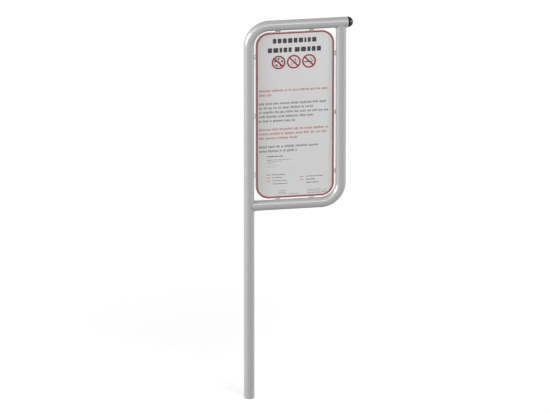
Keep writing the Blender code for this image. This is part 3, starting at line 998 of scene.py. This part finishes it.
class Finish:
    """A material whose colour, roughness and relief come from noise in the piece's own space."""

    def __init__(self, name, metallic=0.0):
        self.material = bpy.data.materials.new(name)
        self.material.use_nodes = True
        self.tree = self.material.node_tree
        self.shader = self.tree.nodes["Principled BSDF"]
        self.shader.inputs["Metallic"].default_value = metallic
        self.place = self.tree.nodes.new("ShaderNodeTexCoord").outputs["Object"]
        self.normal = None

    def link(self, start, end):
        self.tree.links.new(start, end)

    def node(self, kind, values):
        """A new node of the tree, with its inputs' values."""
        made = self.tree.nodes.new(kind)
        for name, value in values.items():
            made.inputs[name].default_value = value
        return made

    def noise(self, scale, detail, low, high, to_low=0, to_high=1, stretch=(1, 1, 1)):
        """A noise with features about 1 / scale metres wide, its low to high spread to a range."""
        mapping = self.node("ShaderNodeMapping", {"Scale": stretch})
        self.link(self.place, mapping.inputs["Vector"])
        node = self.node("ShaderNodeTexNoise", {"Scale": scale, "Detail": detail})
        self.link(mapping.outputs["Vector"], node.inputs["Vector"])
        return self.spread(node.outputs["Fac"], low, high, to_low, to_high)

    def spread(self, value, low, high, to_low, to_high):
        """The value from low to high, mapped to another range and held at its ends."""
        ends = {"From Min": low, "From Max": high, "To Min": to_low, "To Max": to_high}
        node = self.node("ShaderNodeMapRange", ends)
        self.link(value, node.inputs["Value"])
        return node.outputs["Result"]

    def blend(self, share, first, second):
        """One colour or another, by share. Each of the three is a value or a node's output."""
        node = self.tree.nodes.new("ShaderNodeMix")
        node.data_type = "RGBA"
        if isinstance(share, float):
            node.inputs["Factor"].default_value = share
        else:
            self.link(share, node.inputs["Factor"])
        sockets = [socket for socket in node.inputs if socket.type == "RGBA"]
        for socket, colour in zip(sockets, (first, second)):
            if isinstance(colour, tuple):
                socket.default_value = (*colour, 1.0)
            else:
                self.link(colour, socket)
        return [socket for socket in node.outputs if socket.type == "RGBA"][0]

    def times(self, first, second):
        node = self.tree.nodes.new("ShaderNodeMath")
        node.operation = "MULTIPLY"
        self.link(first, node.inputs[0])
        self.link(second, node.inputs[1])
        return node.outputs["Value"]

    def colour(self, output):
        self.link(output, self.shader.inputs["Base Color"])

    def speckle(self, scale, detail, first, second):
        """Two colours in small, fairly crisp spots."""
        self.colour(self.blend(self.noise(scale, detail, 0.35, 0.65), first, second))

    def roughness(self, scale, detail, low, high):
        """Roughness that drifts from low to high."""
        varied = self.noise(scale, detail, 0.3, 0.7, low, high)
        self.link(varied, self.shader.inputs["Roughness"])

    def relief(self, scale, detail, strength, distance):
        """Adds a bump on top of the ones before it."""
        node = self.node("ShaderNodeBump", {"Strength": strength, "Distance": distance})
        self.link(self.noise(scale, detail, 0, 1), node.inputs["Height"])
        if self.normal is not None:
            self.link(self.normal, node.inputs["Normal"])
        self.normal = node.outputs["Normal"]
        self.link(self.normal, self.shader.inputs["Normal"])


def scaled(colour, share):
    return tuple(channel * share for channel in colour)


def height_of(finish):
    """The height above the ground, from the piece's own coordinates."""
    node = finish.tree.nodes.new("ShaderNodeSeparateXYZ")
    finish.link(finish.place, node.inputs["Vector"])
    return node.outputs["Z"]


def painted(name, base, rough_low, rough_high, peel):
    """Silver-grey powder coat: fine flake, orange peel, faint mottling and dust near the ground."""
    dust = (0.30, 0.27, 0.23)
    dust_height = 0.16
    finish = Finish(name, metallic=0.22)
    flake = finish.blend(finish.noise(900, 1, 0.35, 0.65), scaled(base, 0.98), scaled(base, 1.02))
    cloud = finish.blend(finish.noise(5.5, 5, 0.3, 0.7), scaled(base, 0.99), scaled(base, 1.01))
    paint = finish.blend(0.5, flake, cloud)
    low_down = finish.spread(height_of(finish), 0.0, dust_height, 1, 0)
    patches = finish.noise(38, 4, 0.42, 0.66, 0, 0.35)
    finish.colour(finish.blend(finish.times(low_down, patches), paint, dust))
    finish.roughness(8, 2, rough_low, rough_high)
    finish.relief(420, 1, peel, 0.00002)
    return finish.material


def make_cap_plastic():
    """Black moulded plastic with a fine grain and a few pale scuffs."""
    finish = Finish("moulded_black_plastic")
    finish.shader.inputs["Specular IOR Level"].default_value = 0.28
    scuff = finish.noise(160, 6, 0.62, 0.75, 0, 0.25, (1, 1, 4))
    finish.colour(finish.blend(scuff, (0.003, 0.003, 0.003), (0.02, 0.02, 0.02)))
    finish.roughness(45, 4, 0.20, 0.28)
    finish.relief(2600, 2, 0.10, 0.00003)
    return finish.material


def make_laminate():
    """Pale compact laminate with a fine matt texture."""
    finish = Finish("compact_laminate")
    finish.speckle(700, 2, (0.56, 0.56, 0.555), (0.64, 0.64, 0.635))
    finish.roughness(60, 3, 0.40, 0.52)
    finish.relief(1100, 2, 0.3, 0.00006)
    return finish.material


def satin(name):
    """A finish with the print's satin surface, its colour still to come."""
    finish = Finish(name)
    finish.roughness(35, 3, 0.38, 0.48)
    finish.relief(900, 2, 0.12, 0.00004)
    return finish


def make_film():
    """Satin print film, with the faint waviness of a laid sheet."""
    finish = satin("print_film")
    tone = finish.noise(9, 4, 0.3, 0.7)
    finish.colour(finish.blend(tone, (0.608, 0.610, 0.608), (0.633, 0.634, 0.632)))
    finish.relief(14, 2, 0.06, 0.0006)
    return finish.material


def make_ink(name, colour):
    """Printed ink, with slight mottling and the film's satin."""
    finish = satin(name)
    finish.speckle(500, 3, scaled(colour, 0.90), scaled(colour, 1.10))
    return finish.material


def make_zinc(name, cool, warm, rough_low, rough_high):
    """Zinc plate with fine marks and a faint warm and cool tint."""
    finish = Finish(name, metallic=1.0)
    finish.speckle(220, 3, cool, warm)
    finish.roughness(400, 3, rough_low, rough_high)
    finish.relief(3000, 2, 0.2, 0.00003)
    return finish.material


def make_brass():
    """Turned brass, slightly dulled."""
    finish = Finish("turned_brass", metallic=1.0)
    finish.speckle(300, 3, (0.70, 0.50, 0.22), (0.55, 0.40, 0.20))
    finish.roughness(500, 2, 0.28, 0.42)
    finish.relief(2500, 2, 0.2, 0.00003)
    return finish.material


PAINT = painted("silver_powder_coat", (0.377, 0.380, 0.381), 0.325, 0.335, 0.10)
# The welds' coat is darker than the tubes' though the same powder coat covers both: painted shade for
# the crease where the tubes meet.
WELD_PAINT_WITH_PAINTED_SHADE = painted("powder_coat_on_weld_painted_shade", (0.29, 0.293, 0.294), 0.36, 0.44, 0.25)
CAP_PLASTIC = make_cap_plastic()
LAMINATE = make_laminate()
FILM = make_film()
RED_INK = make_ink("border_red", (0.285, 0.051, 0.061))
SIGN_INK = make_ink("sign_red", (0.24, 0.018, 0.028))
RED_TEXT_INK = make_ink("text_red", (0.45, 0.214, 0.210))
BLACK_INK = make_ink("heading_black", (0.028, 0.028, 0.030))
TEXT_INK = make_ink("text_dark", (0.21, 0.21, 0.21))
GREY_INK = make_ink("picture_grey", (0.10, 0.10, 0.10))
ZINC = make_zinc("bright_zinc", (0.55, 0.57, 0.60), (0.64, 0.63, 0.58), 0.24, 0.40)
PALE_ZINC = make_zinc("pale_zinc", (0.90, 0.91, 0.92), (0.94, 0.93, 0.91), 0.50, 0.58)
# A darker copy of the zinc, as painted shade for the lugs under the top rail.
TOP_LUG_PAINTED_SHADE_ZINC = make_zinc("zinc_with_painted_shade", (0.44, 0.456, 0.48), (0.51, 0.50, 0.46), 0.24, 0.40)
BRASS = make_brass()


def dress_inserts():
    """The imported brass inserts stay, sunk in the panel's back, with a real finish."""
    for name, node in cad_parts.items():
        if name.startswith("insert_"):
            for slot in node.material_slots:
                slot.material = BRASS


# Studio

# The camera's place: azimuth and elevation in degrees, then metres back, right and up
CAMERA_AZIMUTH = -10.9436
CAMERA_ELEVATION = 17.1843
CAMERA_DISTANCE = 44.1551
CAMERA_RIGHT = 0.14753
CAMERA_UP = 1.09413
CAMERA_LENS = 504.87
SENSOR_WIDTH = 36.0

# Soft lamps aimed at the board: azimuth, elevation, angles across and up, and brightness.
# The one behind the board lights its back and shows in no reflection.
LAMP_TARGET = Vector((0.27, 0, 1.35))
LAMP_DISTANCE = 14.0
LAMPS = {
    "lamp_left_key": (-69, 18, 22, 20, 8.41),
    "lamp_left_wide": (-90, 14, 46, 26, 3.21),
    "lamp_left_high": (-58, 32, 36, 22, 1.53),
    "lamp_left_strip": (-80, 10, 12, 30, 11.9),
    "lamp_right_wide": (90, 15, 50, 28, 1.85),
    "lamp_right_strip": (66, 10, 12, 30, 14.7),
    "lamp_strip": (14, 37, 44, 4, 14.9),
    "lamp_strip_left": (-40, 40, 30, 5, 5.83),
    "lamp_back": (180, 6, 50, 12, 11.0),
}
WORLD_FILL = 0.16

# The floor's own light: azimuth, elevation, width and strength
FLOOR_LIGHT = (13, 40, 40, 1.6)


def shown_ray(tree):
    """1 where the camera, a reflection or a clear piece looks, else 0."""
    light_path = tree.nodes.new("ShaderNodeLightPath")
    total = light_path.outputs["Is Camera Ray"]
    for name in ("Is Glossy Ray", "Is Transmission Ray"):
        most = tree.nodes.new("ShaderNodeMath")
        most.operation = "MAXIMUM"
        tree.links.new(total, most.inputs[0])
        tree.links.new(light_path.outputs[name], most.inputs[1])
        total = most.outputs["Value"]
    return total


def make_world():
    """A dim white world that looks fully white behind the board."""
    world = bpy.data.worlds.new("studio")
    bpy.context.scene.world = world
    world.use_nodes = True
    tree = world.node_tree
    tree.nodes.clear()
    mix = tree.nodes.new("ShaderNodeMixShader")
    for strength, slot in ((WORLD_FILL, mix.inputs[1]), (1.0, mix.inputs[2])):
        white = tree.nodes.new("ShaderNodeBackground")
        white.inputs["Color"].default_value = (1, 1, 1, 1)
        white.inputs["Strength"].default_value = strength
        tree.links.new(white.outputs["Background"], slot)
    out = tree.nodes.new("ShaderNodeOutputWorld")
    tree.links.new(shown_ray(tree), mix.inputs["Fac"])
    tree.links.new(mix.outputs["Shader"], out.inputs["Surface"])
    world.cycles.sampling_method = "NONE"


# The floor's grey and glow where the camera looks, and its grey where it lights the board
FLOOR_SHOWN = 0.62
FLOOR_GLOW = 0.732
FLOOR_BOUNCE = 0.52


def make_floor():
    """A wide pale floor: white to the camera, with the board's shadow near its foot."""
    half = 150.0
    down = -0.0002
    corners = [(-half, -half, down), (half, -half, down), (half, half, down), (-half, half, down)]
    mesh = bpy.data.meshes.new("floor")
    mesh.from_pydata(corners, [], [(0, 1, 2, 3)])
    floor = linked("studio_floor", mesh)
    material = bpy.data.materials.new("studio_floor")
    material.use_nodes = True
    mesh.materials.append(material)
    tree = material.node_tree
    tree.nodes.clear()

    def diffuse(value):
        node = tree.nodes.new("ShaderNodeBsdfDiffuse")
        node.inputs["Color"].default_value = (value, value, value, 1)
        return node.outputs["BSDF"]

    glow = tree.nodes.new("ShaderNodeEmission")
    glow.inputs["Strength"].default_value = FLOOR_GLOW
    shown = tree.nodes.new("ShaderNodeAddShader")
    tree.links.new(diffuse(FLOOR_SHOWN), shown.inputs[0])
    tree.links.new(glow.outputs["Emission"], shown.inputs[1])
    mix = tree.nodes.new("ShaderNodeMixShader")
    tree.links.new(shown_ray(tree), mix.inputs["Fac"])
    tree.links.new(diffuse(FLOOR_BOUNCE), mix.inputs[1])
    tree.links.new(shown.outputs["Shader"], mix.inputs[2])
    out = tree.nodes.new("ShaderNodeOutputMaterial")
    tree.links.new(mix.outputs["Shader"], out.inputs["Surface"])
    return floor


def direction(azimuth, elevation):
    """Towards a lamp or the camera: azimuth 0 is in front of the board, and 90 to its right."""
    a = math.radians(azimuth)
    e = math.radians(elevation)
    return Vector((math.sin(a) * math.cos(e), -math.cos(a) * math.cos(e), math.sin(e)))


def aim(lamp, azimuth, elevation):
    """Turns a lamp so that it shines from a direction."""
    lamp.rotation_mode = "QUATERNION"
    lamp.rotation_quaternion = (-direction(azimuth, elevation)).to_track_quat("-Z", "Y")


def light_link(lamp, floor, state):
    """Keeps a lamp's light to the floor, or off it."""
    lit = bpy.data.collections.new(lamp.name)
    lit.objects.link(floor)
    lit.collection_objects[0].light_linking.link_state = state
    lamp.light_linking.receiver_collection = lit


def make_lamps(floor):
    for name, (azimuth, elevation, across, upward, brightness) in LAMPS.items():
        width = 2 * LAMP_DISTANCE * math.tan(math.radians(across / 2))
        height = 2 * LAMP_DISTANCE * math.tan(math.radians(upward / 2))
        data = bpy.data.lights.new(name, "AREA")
        data.shape = "RECTANGLE"
        data.size = width
        data.size_y = height
        data.energy = brightness * math.pi * width * height
        lamp = linked(name, data)
        aim(lamp, azimuth, elevation)
        lamp.location = LAMP_TARGET + direction(azimuth, elevation) * LAMP_DISTANCE
        lamp.visible_camera = False
        lamp.visible_glossy = name != "lamp_back"
        light_link(lamp, floor, "EXCLUDE")


def make_floor_light(floor):
    """A soft light from the front for the floor alone, for the board's shadow on it."""
    azimuth, elevation, width, strength = FLOOR_LIGHT
    data = bpy.data.lights.new("floor_light", "SUN")
    data.angle = math.radians(width)
    data.energy = strength
    lamp = linked("floor_light", data)
    aim(lamp, azimuth, elevation)
    light_link(lamp, floor, "INCLUDE")


def make_camera():
    back = direction(CAMERA_AZIMUTH, CAMERA_ELEVATION)
    right = UP.cross(back).normalized()
    up = back.cross(right)
    data = bpy.data.cameras.new("camera")
    data.lens = CAMERA_LENS
    data.sensor_width = SENSOR_WIDTH
    data.sensor_fit = "HORIZONTAL"
    data.clip_start = 1.0
    data.clip_end = 300.0
    camera = linked("camera", data)
    eye = right * CAMERA_RIGHT + up * CAMERA_UP + back * CAMERA_DISTANCE
    turn = Matrix((right, up, back)).transposed().to_4x4()
    camera.matrix_world = Matrix.Translation(eye) @ turn
    bpy.context.scene.camera = camera


make_frame()
make_end_cap()
make_panel()
make_notice_film()
make_fastenings()
make_print()
dress_inserts()
make_world()
studio_floor = make_floor()
make_lamps(studio_floor)
make_floor_light(studio_floor)
make_camera()
bpy.context.scene.view_settings.view_transform = "Standard"
